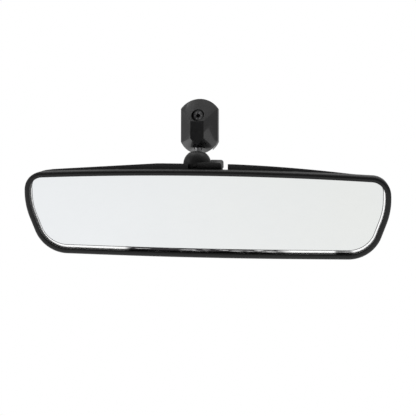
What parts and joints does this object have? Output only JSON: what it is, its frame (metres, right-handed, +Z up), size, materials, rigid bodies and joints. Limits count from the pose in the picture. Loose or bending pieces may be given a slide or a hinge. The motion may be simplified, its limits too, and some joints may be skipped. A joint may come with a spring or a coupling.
{
  "type": "interior rearview mirror",
  "caption": "Wide prismatic rearview mirror in a slim black case, on a ball joint under a windscreen-button mount, with a day/night flip lever.",
  "frame": {"origin": "centre of the mount's back plane, at the mouth of the windscreen-button pocket", "axes": "+X to the driver's right, along the mirror; +Y towards the windscreen, out of the mount's back plane; +Z up"},
  "size_m": [0.2555, 0.0408, 0.1164],
  "materials": {
    "mount_paint": "gloss black paint on a die casting",
    "screw_steel": "zinc-plated steel",
    "stud_steel": "turned steel",
    "spring_steel": "cold-rolled strip",
    "seat_nylon": "natural nylon",
    "socket_plastic": "satin black moulded plastic",
    "lever_plastic": "satin black moulded plastic",
    "bezel_plastic": "satin black moulded plastic",
    "housing_plastic": "fine-grained dark plastic",
    "mirror_glass": "polished prism glass, silvered at the back",
    "silver_coating": "silvered film with a protective backing",
    "foam": "closed-cell foam"
  },
  "bodies": {
    "mount": {"mount_body": "mount_paint", "button_screw": "screw_steel", "ball_stud": "stud_steel"},
    "seat_front": {"ball_seat_front": "seat_nylon"},
    "seat_rear": {"ball_seat_rear": "seat_nylon"},
    "socket": {"socket_bracket": "socket_plastic", "socket_clamp": "socket_plastic", "clamp_screw_left": "screw_steel", "clamp_screw_right": "screw_steel", "lever_pin": "screw_steel", "detent_spring": "spring_steel", "spring_rivet": "screw_steel"},
    "lever": {"day_night_lever": "lever_plastic"},
    "head": {"front_bezel": "bezel_plastic", "rear_housing": "housing_plastic", "prism_glass": "mirror_glass", "silver_backing_film": "silver_coating", "foam_pad_left": "foam", "foam_pad_right": "foam", "hinge_pin": "screw_steel", "pin_retainer_left": "socket_plastic", "pin_retainer_right": "socket_plastic", "retainer_screw_left": "screw_steel", "retainer_screw_right": "screw_steel"}
  },
  "joints": [
    {"name": "ball_yaw", "type": "hinge", "parent": "mount", "child": "seat_front", "pos_m": [0, -0.014, -0.029], "axis": [0, 0, 1], "range_deg": [-18, 18]},
    {"name": "ball_pitch", "type": "hinge", "parent": "seat_front", "child": "seat_rear", "pos_m": [0, -0.014, -0.029], "axis": [1, 0, 0], "range_deg": [-15, 15]},
    {"name": "ball_roll", "type": "hinge", "parent": "seat_rear", "child": "socket", "pos_m": [0, -0.014, -0.029], "axis": [0, 1, 0], "range_deg": [-10, 10]},
    {"name": "lever_flip", "type": "hinge", "parent": "socket", "child": "lever", "pos_m": [0.01607, -0.01933, -0.03802], "axis": [0.9994, 0.0115, -0.033], "range_deg": [-20, 0]},
    {"name": "day_night_tilt", "type": "hinge", "parent": "socket", "child": "head", "pos_m": [0.00664, -0.0063, -0.07392], "axis": [0.9994, 0.0115, -0.033], "range_deg": [0, 4.5]}
  ],
  "couplings": [
    {"joint": "lever_flip", "follows": "day_night_tilt", "ratio": -4.4444}
  ]
}
